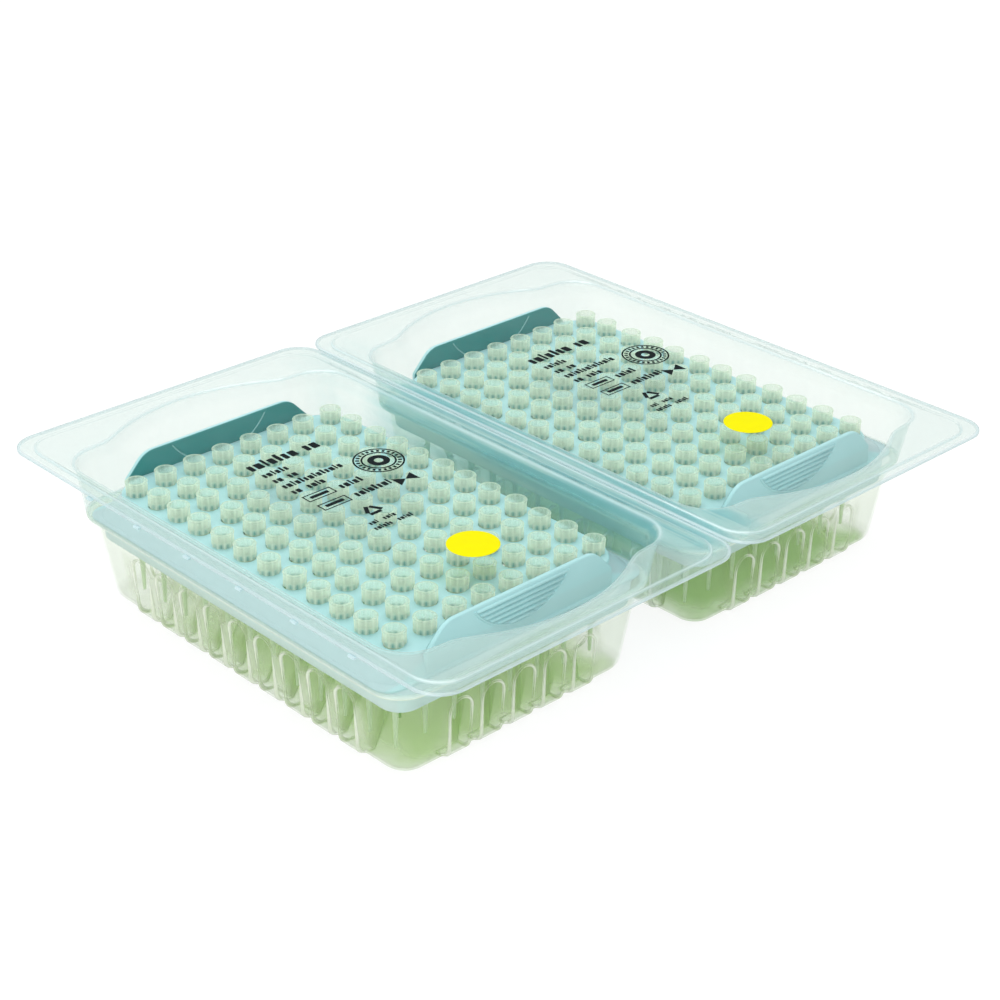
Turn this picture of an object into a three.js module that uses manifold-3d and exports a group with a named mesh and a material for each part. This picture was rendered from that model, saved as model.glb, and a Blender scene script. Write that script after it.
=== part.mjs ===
// Twin refill pack of 10 µl pipette tips.
//
// One clear thermoformed sheet makes two tubs side by side, and a thin score line between their rims lets
// the pack be snapped in two. Each tub holds a moulded tray with a raised grip at both ends. The tray
// carries 96 tips on the 9 mm laboratory grid, and a clear film is sealed across the mouth of the tub.
//
// Millimetres, +Z up. The origin is on the standing surface, under the middle of the pack. +X runs across
// the two tubs, from the left one to the right one, and +Y runs along them.

import * as THREE from 'three';
import { mergeVertices } from 'three/addons/utils/BufferGeometryUtils.js';
import Module from 'manifold-3d';

const wasm = await Module();
wasm.setup();

// ---- Driving dimensions -------------------------------------------------------------------------------

// Tip grid.
const tipPitch = 9;
const tipsAcross = 8;
const tipsAlong = 12;

// One tip: a collar that sits on the tray, a neck in the tray's hole, and a long taper down to the point.
const tipLength = 31.5;
const collarHeight = 3.6;
const collarLip = 0.35;
const collarWall = 0.9;
const neckRadius = 2.2;
const neckTaper = 0.25;
const neckLength = 9;
const shaftRadius = 1.2;
const shaftWall = 0.5;
const shoulderLength = 4;
const pointRadius = 0.45;
const pointWall = 0.23;

// Tray: a plate on a skirt that flares along the sides and stands nearly upright at the ends, a flange that
// sits on the tub's ledge, and a spigot that drops into the well.
const trayWall = 1;
const plateSideMargin = 4.8;
const plateEndMargin = 7.4;
const plateCornerRadius = 11;
const plateThickness = 1.3;
const plateRise = 5.1;
const flareReach = 4.2;
const flareSag = 1.3;
const flareCornerRadius = 9;
const flangeReach = 1.2;
const flangeEndReach = 0.5;
const flangeCornerRadius = 5;
const flangeThickness = 0.9;
const spigotDepth = 6.3;

// Grip across each end of the tray, flush with the foot of the skirt, with raised ribs on its outer face.
const gripThickness = 1.3;
const gripInset = 6.8;
const gripLean = 6;
const gripRise = 6.3;
const gripCornerRadius = 3;
const ribPatchWidth = 30;
const ribPatchDepth = 8;
const ribPatchDrop = 0.9;
const ribCount = 5;
const ribHeight = 0.6;
const ribProud = 0.5;

// Formed sheet. The well narrows by its draft down to the floor, and the upper wall spreads up to the mouth.
const sheet = 0.5;
const ledgeShelf = 2.3;
const ledgeEndRoom = 3.9;
const ledgeCornerRadius = 9;
const wellCornerRadius = 6.5;
const sideDraft = 3.4;
const endDraft = 2.8;
const floorFillet = 3.2;
const sideSpread = 0.5;
const endSpread = 2.7;
const mouthCornerRadius = 9.5;

// Finger pocket that bulges from each end of the mouth.
const pocketReach = 8.9;
const pocketCrownRadius = 50;
const pocketBlendRadius = 14;

// Upright flutes in the well's wall: let in at their arched top, proud of the drafted wall at their foot,
// where they stand on the floor's rounded edge. The tray's spigot ends above them.
const flutePitch = 10;
const fluteWidth = 6.7;
const longSideFlutes = { count: 9, drop: 0, letIn: 0.9 };
const shortSideFlutes = { count: 5, drop: 1.5, letIn: 0.5 };

// Rim round the mouth of a tub: a land that the film is sealed to, and a border one step lower.
const rimSide = 5.6;
const rimEnd = 17;
const rimCornerRadius = 8;
const sealInset = 3.4;
const sealStep = 0.4;

// Score line between the two rims.
const scoreWidth = 0.6;
const scoreWeb = 0.25;
const scoreLap = 0.4;

// Film.
const filmThickness = 0.2;
const filmInset = 0.5;

// Clearances: between parts that rest on each other, round the tray, round a tip's neck, under the tips'
// points, and between the grips and the rim's height.
const seatGap = 0.2;
const wallGap = 0.3;
const holeGap = 0.3;
const pointGap = 2.5;
const gripGap = 1.6;

// ---- Sizes and places that follow from them -----------------------------------------------------------

const holeRadius = neckRadius + holeGap;
const collarRadius = holeRadius + collarLip;
const boreTopRadius = collarRadius - collarWall;
const boreShaftRadius = shaftRadius - shaftWall;
const borePointRadius = pointRadius - pointWall;

// Heights, from the points of the tips up.
const pointHeight = sheet + pointGap;
const tipTop = pointHeight + tipLength;
const collarBottom = tipTop - collarHeight;
const plateTop = collarBottom - seatGap;
const plateBottom = plateTop - plateThickness;
const flangeTop = plateTop - plateRise;
const flangeBottom = flangeTop - flangeThickness;
const ledgeHeight = flangeBottom - seatGap;
const spigotBottom = ledgeHeight - spigotDepth;
const fluteTop = spigotBottom - seatGap - sheet;
const gripTop = plateTop + gripRise;
const packHeight = gripTop + gripGap;
const rimTop = packHeight - sealStep;

// Widths and lengths, from the tip grid outwards.
const grown = ([width, length], side, end = side) => [width + 2 * side, length + 2 * end];
const gridSize = [(tipsAcross - 1) * tipPitch, (tipsAlong - 1) * tipPitch];
const plateSize = grown(gridSize, plateSideMargin, plateEndMargin);
const flareSize = grown(plateSize, flareReach, gripThickness);
const flangeSize = grown(flareSize, flangeReach, flangeEndReach);
const ledgeSize = grown(flangeSize, wallGap + sheet, ledgeEndRoom + sheet);
const wellSize = grown(ledgeSize, -ledgeShelf);
const floorSize = grown(wellSize, -sideDraft, -endDraft);
const mouthSize = grown(ledgeSize, sideSpread, endSpread);
const rimSize = grown(mouthSize, rimSide, rimEnd);
const sealSize = grown(rimSize, -sealInset);
const tubCentreX = (rimSize[0] + scoreWidth) / 2;

const gripFootHalf = plateSize[0] / 2 - gripInset;
const gripTopHalf = gripFootHalf - gripLean;
const gripFace = plateSize[1] / 2 + gripThickness;

// The outline of the well's wall at a height, from its draft.
function wellSizeAt(height) {
  const share = height / ledgeHeight;
  return grown(floorSize, sideDraft * share, endDraft * share);
}

// ---- Materials ----------------------------------------------------------------------------------------

const clearSheet = new THREE.MeshStandardMaterial({
  color: 0xdfeeea, roughness: 0.12, metalness: 0, transparent: true, opacity: 0.4,
});
const clearFilm = new THREE.MeshStandardMaterial({
  color: 0xeaf4f2, roughness: 0.2, metalness: 0, transparent: true, opacity: 0.25,
});
const trayBlue = new THREE.MeshStandardMaterial({ color: 0x8fc4cc, roughness: 0.45, metalness: 0 });
const naturalTip = new THREE.MeshStandardMaterial({ color: 0xd3e6c4, roughness: 0.3, metalness: 0 });

// ---- Solids -------------------------------------------------------------------------------------------

// A closed three.js geometry becomes a solid once its shared corners are merged.
function solid(geometry) {
  geometry.deleteAttribute('normal');
  geometry.deleteAttribute('uv');
  const merged = mergeVertices(geometry, 1e-5);
  return new wasm.Manifold(new wasm.Mesh({
    numProp: 3,
    vertProperties: new Float32Array(merged.getAttribute('position').array),
    triVerts: new Uint32Array(merged.index.array),
  }));
}

function geometryOf(body) {
  const mesh = body.getMesh();
  const geometry = new THREE.BufferGeometry();
  geometry.setAttribute('position', new THREE.BufferAttribute(mesh.vertProperties, 3));
  geometry.setIndex(new THREE.BufferAttribute(mesh.triVerts, 1));
  return geometry;
}

const joined = (bodies) => bodies.reduce((sum, body) => sum.add(body));

// A skin through a stack of outlines of equal point count, closed by a flat cap at both ends.
function loft(outlines) {
  const count = outlines[0].points.length;
  const corners = outlines.flatMap(({ points, z }) => points.flatMap((point) => [point.x, point.y, z]));
  const faces = [];
  for (let level = 0; level + 1 < outlines.length; level += 1) {
    const low = level * count;
    const high = low + count;
    for (let i = 0; i < count; i += 1) {
      const next = (i + 1) % count;
      faces.push([low + i, low + next, high + next], [low + i, high + next, high + i]);
    }
  }
  const topStart = (outlines.length - 1) * count;
  for (const [a, b, c] of THREE.ShapeUtils.triangulateShape(outlines[0].points, [])) faces.push([c, b, a]);
  for (const face of THREE.ShapeUtils.triangulateShape(outlines.at(-1).points, [])) {
    faces.push(face.map((k) => k + topStart));
  }
  const geometry = new THREE.BufferGeometry();
  geometry.setAttribute('position', new THREE.Float32BufferAttribute(corners, 3));
  geometry.setIndex(faces.flat());
  return solid(geometry);
}

function box(x0, x1, y0, y1, z0, z1) {
  const geometry = new THREE.BoxGeometry(x1 - x0, y1 - y0, z1 - z0);
  geometry.translate((x0 + x1) / 2, (y0 + y1) / 2, (z0 + z1) / 2);
  return solid(geometry);
}

// A plate standing across Y: a shape drawn in X and height, filling y from `back` to `front`.
function standingPlate(shape, back, front, curveSegments) {
  const options = { depth: front - back, bevelEnabled: false, curveSegments };
  const geometry = new THREE.ExtrudeGeometry(shape, options);
  geometry.rotateX(Math.PI / 2);
  geometry.translate(0, front, 0);
  return solid(geometry);
}

// A turned body on the Z axis, from profile points of [radius, height].
function turned(profile, sides) {
  const geometry = new THREE.LatheGeometry(profile.map(([r, z]) => new THREE.Vector2(r, z)), sides);
  geometry.rotateX(Math.PI / 2);
  return geometry;
}

// ---- Outlines -----------------------------------------------------------------------------------------

const cornerSteps = 4;
const pocketSteps = 8;

// How far a finger pocket stands out from the straight end at `x`: a crown arc that runs into the end
// through a blend arc of the opposite hand on each side.
function pocketBulge(x) {
  const arcs = pocketCrownRadius + pocketBlendRadius;
  const blendX = Math.sqrt(arcs ** 2 - (arcs - pocketReach) ** 2);
  const meetX = blendX * (pocketCrownRadius / arcs);
  const across = Math.abs(x);
  const sag = (radius, half) => radius - Math.sqrt(radius ** 2 - half ** 2);
  if (across <= meetX) return pocketReach - sag(pocketCrownRadius, across);
  if (across < blendX) return sag(pocketBlendRadius, blendX - across);
  return 0;
}

// A rounded rectangle at a height, anticlockwise. With `pocket` given, both ends are divided and carry that
// share, from 0 to 1, of the finger pocket.
function outline([width, length], radius, z, pocket) {
  const points = [];
  const halfX = width / 2 - radius;
  const halfY = length / 2 - radius;
  const corner = (signX, signY, start) => {
    for (let i = 0; i <= cornerSteps; i += 1) {
      const angle = start + (i / cornerSteps) * (Math.PI / 2);
      points.push(new THREE.Vector2(
        signX * halfX + radius * Math.cos(angle),
        signY * halfY + radius * Math.sin(angle),
      ));
    }
  };
  const end = (signY) => {
    for (let i = 1; pocket !== undefined && i < pocketSteps; i += 1) {
      const x = signY * halfX * (1 - (2 * i) / pocketSteps);
      points.push(new THREE.Vector2(x, signY * (length / 2 + pocket * pocketBulge(x))));
    }
  };
  corner(1, -1, -Math.PI / 2);
  corner(1, 1, 0);
  end(1);
  corner(-1, 1, Math.PI / 2);
  corner(-1, -1, Math.PI);
  end(-1);
  return { points, z };
}

// The same outline, drawn in or out by `inset` all round.
const insetOutline = (inset, size, radius, z, pocket) => (
  outline(grown(size, -inset), radius - inset, z, pocket)
);

// ---- Twin tub -----------------------------------------------------------------------------------------

// The well from its floor to the ledge. `inset` is 0 for the outside and one sheet for the inside.
function well(inset) {
  const footInset = floorFillet - inset;
  return loft([
    insetOutline(inset, grown(floorSize, -footInset), wellCornerRadius - footInset, inset),
    insetOutline(inset, wellSizeAt(floorFillet), wellCornerRadius, floorFillet),
    insetOutline(inset, wellSize, wellCornerRadius, ledgeHeight + inset),
  ]);
}

// The wall from the ledge up to `top`, where the finger pockets are at their widest.
function upperWall(inset, top) {
  return loft([
    insetOutline(inset, ledgeSize, ledgeCornerRadius, ledgeHeight - sheet + inset, 0),
    insetOutline(inset, mouthSize, mouthCornerRadius, top, 1),
  ]);
}

// The arch of a flute, from `foot` up to `top`, grown by `grow` all round.
function fluteArch(grow, foot, top) {
  const half = fluteWidth / 2 + grow;
  const spring = top - fluteWidth / 2;
  const shape = new THREE.Shape();
  shape.moveTo(-half, foot);
  shape.lineTo(half, foot);
  shape.lineTo(half, spring);
  shape.absarc(0, spring, half, 0, Math.PI, false);
  return shape;
}

// Gives a well its flutes. Each one pulls the drafted wall upright: the body is filled out to the flute's
// face below, and cut back to it above. `inset` is 0 for the outside and one sheet for the inside.
function fluted(body, inset) {
  const archSteps = 2;
  const stock = fluteWidth;
  const side = (axis, { count, drop, letIn }, turn) => {
    const top = fluteTop - drop;
    const face = wellSizeAt(top)[axis] / 2 - letIn - inset;
    const fill = standingPlate(fluteArch(-inset, floorFillet + inset, top), face - stock, face, archSteps);
    const cut = standingPlate(fluteArch(inset, floorFillet, top), face, face + stock, archSteps);
    const places = Array.from({ length: count }, (_, i) => (i - (count - 1) / 2) * flutePitch);
    return [fill, cut].map((block) => (
      joined(places.map((x) => block.translate([x, 0, 0]).rotate([0, 0, turn])))
    ));
  };
  const sides = [
    side(1, shortSideFlutes, 0),
    side(0, longSideFlutes, 90),
    side(1, shortSideFlutes, 180),
    side(0, longSideFlutes, 270),
  ];
  return body.add(joined(sides.map(([fills]) => fills))).subtract(joined(sides.map(([, cuts]) => cuts)));
}

function rim() {
  return loft([
    outline(sealSize, rimCornerRadius, packHeight - sheet),
    outline(sealSize, rimCornerRadius, rimTop - sheet),
    outline(rimSize, rimCornerRadius, rimTop - sheet),
    outline(rimSize, rimCornerRadius, rimTop),
    outline(sealSize, rimCornerRadius, rimTop),
    outline(sealSize, rimCornerRadius, packHeight),
  ]);
}

function tub() {
  const outside = joined([fluted(well(0), 0), upperWall(0, packHeight - sheet / 2), rim()]);
  return outside.subtract(fluted(well(sheet), sheet).add(upperWall(sheet, packHeight + sheet)));
}

function twinTub() {
  const one = tub();
  const halfWeb = scoreWidth / 2 + scoreLap;
  const halfLength = rimSize[1] / 2 - rimCornerRadius;
  const web = box(-halfWeb, halfWeb, -halfLength, halfLength, rimTop - sheet, rimTop - sheet + scoreWeb);
  return joined([one.translate([-tubCentreX, 0, 0]), one.translate([tubCentreX, 0, 0]), web]);
}

// ---- Tips ---------------------------------------------------------------------------------------------

// The place of a tip on the grid of one tub, from its column across and its row along.
const gridPlace = (column, row) => [column * tipPitch - gridSize[0] / 2, row * tipPitch - gridSize[1] / 2];

// A loose tip: one hollow turned body, open at both ends.
function looseTip() {
  const sides = 6;
  const neckEnd = collarBottom - neckLength;
  const shaftTop = neckEnd - shoulderLength;
  return turned([
    [pointRadius, pointHeight],
    [shaftRadius, shaftTop],
    [neckRadius - neckTaper, neckEnd],
    [neckRadius, collarBottom],
    [collarRadius, collarBottom],
    [collarRadius, tipTop],
    [boreTopRadius, tipTop],
    [boreShaftRadius, shaftTop],
    [borePointRadius, pointHeight],
    [pointRadius, pointHeight],
  ], sides);
}

// A plain post on the Z axis, with as few sides as its place allows.
const post = (radius, bottom, top, sides) => (
  solid(turned([[0, bottom], [radius, bottom], [radius, top], [0, top]], sides))
);

// A tip that stays one body with its tray: the collar with a tapered bore, and the taper under the plate.
function trayTip() {
  const sink = plateThickness / 3;
  const above = tipTop + 1;
  const foot = plateBottom + sink;
  const mouth = [[boreTopRadius, tipTop], [boreTopRadius, above], [0, above]];
  const bore = solid(turned([[0, plateTop + sink], ...mouth], 4));
  const taper = solid(turned([[0, pointHeight], [neckRadius, foot], [0, foot]], 3));
  return post(collarRadius, plateTop - sink, tipTop, 6).subtract(bore).add(taper);
}

// ---- Tray ---------------------------------------------------------------------------------------------

// The shell of the tray: spigot, flange, sagging flare and plate, and the hollow below them.
function trayShell() {
  const fit = sheet + wallGap;
  const spigotWall = (inset, sectionZ, z) => {
    const [wellWidth] = wellSizeAt(sectionZ);
    return insetOutline(inset, [wellWidth - 2 * fit, flangeSize[1]], wellCornerRadius - fit, z);
  };
  const flareMiddle = (inset, z) => {
    const size = grown(plateSize, (flareReach + flareSag) / 2, gripThickness / 2);
    return insetOutline(inset, size, (plateCornerRadius + flareCornerRadius) / 2, z);
  };
  const outside = loft([
    spigotWall(0, spigotBottom, spigotBottom),
    spigotWall(0, ledgeHeight, flangeBottom),
    outline(flangeSize, flangeCornerRadius, flangeBottom),
    outline(flangeSize, flangeCornerRadius, flangeTop),
    outline(flareSize, flareCornerRadius, flangeTop),
    flareMiddle(0, (flangeTop + plateTop) / 2),
    outline(plateSize, plateCornerRadius, plateTop),
  ]);
  const inside = loft([
    spigotWall(trayWall, spigotBottom, spigotBottom - trayWall),
    spigotWall(trayWall, ledgeHeight, flangeTop),
    flareMiddle(trayWall, (flangeTop + plateBottom) / 2),
    insetOutline(trayWall / 2, plateSize, plateCornerRadius, plateBottom),
  ]);
  return outside.subtract(inside);
}

// The face of a grip from `foot` to its top, leaning in at both sides above the tray's plate.
function gripShape(foot) {
  const slant = new THREE.Vector2(gripLean, gripRise).setLength(gripCornerRadius);
  const shape = new THREE.Shape();
  shape.moveTo(-gripFootHalf, foot);
  shape.lineTo(gripFootHalf, foot);
  shape.lineTo(gripFootHalf, plateTop);
  shape.lineTo(gripTopHalf + slant.x, gripTop - slant.y);
  shape.quadraticCurveTo(gripTopHalf, gripTop, gripTopHalf - gripCornerRadius, gripTop);
  shape.lineTo(gripCornerRadius - gripTopHalf, gripTop);
  shape.quadraticCurveTo(-gripTopHalf, gripTop, -gripTopHalf - slant.x, gripTop - slant.y);
  shape.lineTo(-gripFootHalf, plateTop);
  return shape;
}

// Ribs across the outer face of a grip, each as long as the round-bottomed patch is wide at its height.
function gripRibs() {
  const patchRadius = (ribPatchWidth ** 2 / 4 + ribPatchDepth ** 2) / (2 * ribPatchDepth);
  const pitch = ribPatchDepth / ribCount;
  const ribs = [];
  for (let i = 0; i < ribCount; i += 1) {
    const drop = pitch * i;
    const half = Math.sqrt(patchRadius ** 2 - (patchRadius - ribPatchDepth + drop + ribHeight) ** 2);
    const top = gripTop - ribPatchDrop - drop;
    ribs.push(box(-half, half, gripFace - gripThickness / 2, gripFace + ribProud, top - ribHeight, top));
  }
  return joined(ribs);
}

// A tray with its tips in every row but the first, whose holes stand open for the loose tips.
function tray() {
  const grip = standingPlate(gripShape(flangeTop - trayWall / 2), gripFace - gripThickness, gripFace, 2);
  const gripped = grip.add(gripRibs());
  const tip = trayTip();
  const hole = post(holeRadius, plateBottom - trayWall, tipTop, 6);
  const tips = [];
  const holes = [];
  for (let column = 0; column < tipsAcross; column += 1) {
    holes.push(hole.translate([...gridPlace(column, 0), 0]));
    for (let row = 1; row < tipsAlong; row += 1) tips.push(tip.translate([...gridPlace(column, row), 0]));
  }
  return joined([trayShell(), gripped, gripped.rotate([0, 0, 180]), ...tips]).subtract(joined(holes));
}

// ---- Film ---------------------------------------------------------------------------------------------

function film() {
  const bottom = packHeight + seatGap;
  const levels = [bottom, bottom + filmThickness];
  return loft(levels.map((z) => insetOutline(filmInset, rimSize, rimCornerRadius, z)));
}

// ---- Assembly -----------------------------------------------------------------------------------------

function piece(name, geometry, material, x, y = 0) {
  const mesh = new THREE.Mesh(geometry, material);
  mesh.name = name;
  mesh.position.set(x, y, 0);
  return mesh;
}

const pack = new THREE.Group();
pack.add(piece('twin_tub', geometryOf(twinTub()), clearSheet, 0));

const trayGeometry = geometryOf(tray());
const filmGeometry = geometryOf(film());
const tipGeometry = looseTip();
for (const [side, centreX] of [['left', -tubCentreX], ['right', tubCentreX]]) {
  pack.add(piece(`tip_tray_${side}`, trayGeometry, trayBlue, centreX));
  pack.add(piece(`cover_film_${side}`, filmGeometry, clearFilm, centreX));
  for (let column = 0; column < tipsAcross; column += 1) {
    const [x, y] = gridPlace(column, 0);
    pack.add(piece(`tip_${side}_${column + 1}`, tipGeometry, naturalTip, centreX + x, y));
  }
}

export default pack;
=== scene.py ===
"""Looks of a twin refill pack of pipette tips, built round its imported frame.

One clear thermoformed sheet makes two fluted tubs. Each holds a blue-grey tray of 96 natural tips under a
clear film, which carries plain black marks and a yellow dot. Sizes are in millimetres until a mesh is made.
"""

import itertools
import math

import bmesh
import bpy
import numpy as np
from mathutils import Matrix, Vector


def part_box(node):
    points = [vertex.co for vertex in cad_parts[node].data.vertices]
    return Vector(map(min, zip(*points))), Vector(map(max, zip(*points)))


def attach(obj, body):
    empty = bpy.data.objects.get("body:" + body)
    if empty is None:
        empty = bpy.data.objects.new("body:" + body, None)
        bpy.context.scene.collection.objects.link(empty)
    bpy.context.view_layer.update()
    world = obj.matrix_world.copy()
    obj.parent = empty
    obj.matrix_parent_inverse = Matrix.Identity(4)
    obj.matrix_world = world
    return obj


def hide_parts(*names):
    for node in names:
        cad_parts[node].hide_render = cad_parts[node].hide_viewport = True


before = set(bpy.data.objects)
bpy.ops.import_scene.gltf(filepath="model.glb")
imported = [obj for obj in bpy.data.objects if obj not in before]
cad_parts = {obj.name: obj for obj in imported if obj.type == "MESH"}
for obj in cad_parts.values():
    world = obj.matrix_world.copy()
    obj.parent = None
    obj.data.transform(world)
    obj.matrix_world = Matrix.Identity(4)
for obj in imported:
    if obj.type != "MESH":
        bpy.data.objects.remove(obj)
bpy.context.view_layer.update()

MM = 0.001
SIDES = ("left", "right")


def in_scene(name, data):
    """A new object of the scene that holds a mesh, a lamp or a camera."""
    made = bpy.data.objects.new(name, data)
    bpy.context.scene.collection.objects.link(made)
    return made


def box(node):
    """Lowest and highest corner of a node of the frame, in millimetres."""
    low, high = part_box(node)
    return np.array(low) / MM, np.array(high) / MM


# ---- Sizes ----

TUB_LOW, TUB_HIGH = box("twin_tub")
TIP_BOTTOM, TIP_TOP = (corner[2] for corner in box("tip_left_1"))
GRIP_TOP = box("tip_tray_left")[1][2]
FILM_TOP = box("cover_film_left")[1][2]

SCORE_WIDTH = 0.6
RIM_SIZE = np.array([(TUB_HIGH[0] - TUB_LOW[0] - SCORE_WIDTH) / 2, TUB_HIGH[1] - TUB_LOW[1]])
CENTRE_X = {"left": -(RIM_SIZE[0] + SCORE_WIDTH) / 2, "right": (RIM_SIZE[0] + SCORE_WIDTH) / 2}

PITCH = 9
COLUMNS = 8
ROWS = 12
RACK_HALF = ((COLUMNS - 1) * PITCH / 2, (ROWS - 1) * PITCH / 2)

SHEET = 0.5
RIM_TOP = TUB_HIGH[2]
RIM_RADIUS = 8
SEAL_INSET = 3.4
SEAL_STEP = 0.4
SEAL_SIZE = RIM_SIZE - 2 * SEAL_INSET
RIM_BORDER = np.array([5.6, 17])
MOUTH_SIZE = RIM_SIZE - 2 * RIM_BORDER
MOUTH_RADIUS = 9.5
WALL_SPREAD = np.array([0.5, 2.7])
LEDGE_SIZE = MOUTH_SIZE - 2 * WALL_SPREAD
LEDGE_RADIUS = 9
LEDGE_HEIGHT = 24.5
LEDGE_SHELF = 2.3
WELL_SIZE = LEDGE_SIZE - 2 * LEDGE_SHELF
WELL_RADIUS = 6.5
WELL_DRAFT = np.array([3.4, 2.8])
FLOOR_FILLET = 3.2
FLUTE_FOOT = (3.7, 3.6)
FLUTE_RADIUS = 3.35
FLUTE_PITCH = 10
LONG_FLUTES = {"count": 9, "top": 17.5, "let_in": 0.9, "margin": (3.0, 5.5)}
SHORT_FLUTES = {"count": 5, "top": 16.0, "let_in": 0.5, "margin": (2.4, 4.4)}

TIP_STAND = 3.8
COLLAR_FOOT = TIP_TOP - 3.6
PLATE_TOP = TIP_TOP - TIP_STAND
PLATE_THICKNESS = 1.3
PLATE_SIZE = np.array([72.6, 113.8])
PLATE_RADIUS = 11
HOLE_RADIUS = 2.5
FLARE_REACH = 4.2
FLARE_DROP = 5.1
FLARE_RADIUS = 9
FLARE_SAG = 1.7
FLANGE_REACH = np.array([1.2, 0.5])
FLANGE_THICKNESS = 0.9
FLANGE_RADIUS = 5
FLANGE_TOP = PLATE_TOP - FLARE_DROP
FLANGE_BOTTOM = FLANGE_TOP - FLANGE_THICKNESS
SPIGOT_BOTTOM = TIP_BOTTOM + 15.2
TRAY_WALL = 1
TRAY_ROOM = 0.3

GRIP_THICKNESS = 1.3
GRIP_INSET = 6.8
GRIP_LEAN = 6
GRIP_CORNER = 3
GRIP_RIBS = 6
PATCH_WIDTH = 30
PATCH_DEPTH = 8
PATCH_DROP = 0.9
RIB_HEIGHT = 0.85
RIB_SHADE = {-1: 0.5, 1: 0.6}


# ---- Camera ----


def place_camera():
    """A long lens from the front left, looking down on the pack."""
    azimuth, elevation, roll = (math.radians(a) for a in (-43.484, 27.543, 0.428))
    distance, slide, lift, aim_height = 565.806, 0.922, 13.282, 34.5
    back = Vector((
        math.sin(azimuth) * math.cos(elevation),
        -math.cos(azimuth) * math.cos(elevation),
        math.sin(elevation),
    ))
    right = Vector((0, 0, 1)).cross(back).normalized()
    up = back.cross(right)
    across = right * math.cos(roll) + up * math.sin(roll)
    upward = up * math.cos(roll) - right * math.sin(roll)
    place = Vector((0, 0, aim_height)) + back * distance - across * slide - upward * lift
    lens = bpy.data.cameras.new("camera")
    lens.sensor_width = 36
    lens.lens = 78.47
    lens.clip_start = 0.01
    camera = in_scene("camera", lens)
    turn = Matrix((across, upward, back)).transposed().to_4x4()
    camera.matrix_world = Matrix.Translation(place * MM) @ turn
    bpy.context.scene.camera = camera


place_camera()


# ---- Node sheets ----


class Sheet:
    """A node tree, with one way of adding a node to it."""

    def __init__(self, tree):
        self.tree = tree

    def node(self, kind, settings=(), values=()):
        """Adds a node: its settings first, then the values or links of its sockets, by name or place."""
        made = self.tree.nodes.new(kind)
        for name, value in dict(settings).items():
            setattr(made, name, value)
        for key, value in dict(values).items():
            usable = [s for s in made.inputs if s.enabled]
            socket = usable[key] if isinstance(key, int) else next(s for s in usable if s.name == key)
            self.feed(socket, value)
        return made

    def mixed(self, factor, first, second):
        """A share of one shader and the rest of another."""
        return out(self.node("ShaderNodeMixShader", values={0: factor, 1: first, 2: second}))

    def feed(self, socket, value):
        value = getattr(value, "socket", value)
        if isinstance(value, bpy.types.NodeSocket):
            self.tree.links.new(value, socket)
        else:
            socket.default_value = value


def out(node, name=None):
    """A node's output by name, or its first usable one."""
    usable = [s for s in node.outputs if s.enabled]
    return usable[0] if name is None else next(s for s in usable if s.name == name)


class Value:
    """A number that varies over a surface, with arithmetic that adds Math nodes."""

    def __init__(self, sheet, socket):
        self.sheet = sheet
        self.socket = socket

    def math(self, operation, *values, **settings):
        settings["operation"] = operation
        made = self.sheet.node("ShaderNodeMath", settings, dict(enumerate(values)))
        return Value(self.sheet, out(made))

    def __add__(self, other):
        return self.math("ADD", self, other)

    __radd__ = __add__

    def __sub__(self, other):
        return self.math("SUBTRACT", self, other)

    def __rsub__(self, other):
        return self.math("SUBTRACT", other, self)

    def __mul__(self, other):
        return self.math("MULTIPLY", self, other)

    __rmul__ = __mul__

    def __pow__(self, other):
        return self.math("POWER", self, other)

    def __rpow__(self, other):
        return self.math("POWER", other, self)

    def __abs__(self):
        return self.math("ABSOLUTE", self)

    def least(self, other):
        return self.math("MINIMUM", self, other)

    def most(self, other):
        return self.math("MAXIMUM", self, other)

    def clamped(self):
        return self.math("ADD", self, 0, use_clamp=True)

    def step(self, low, high):
        """0 below `low`, 1 above `high`, and smooth between them."""
        values = {"Value": self, "From Min": low, "From Max": high}
        made = self.sheet.node("ShaderNodeMapRange", {"interpolation_type": "SMOOTHSTEP"}, values)
        return Value(self.sheet, out(made))


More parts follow.
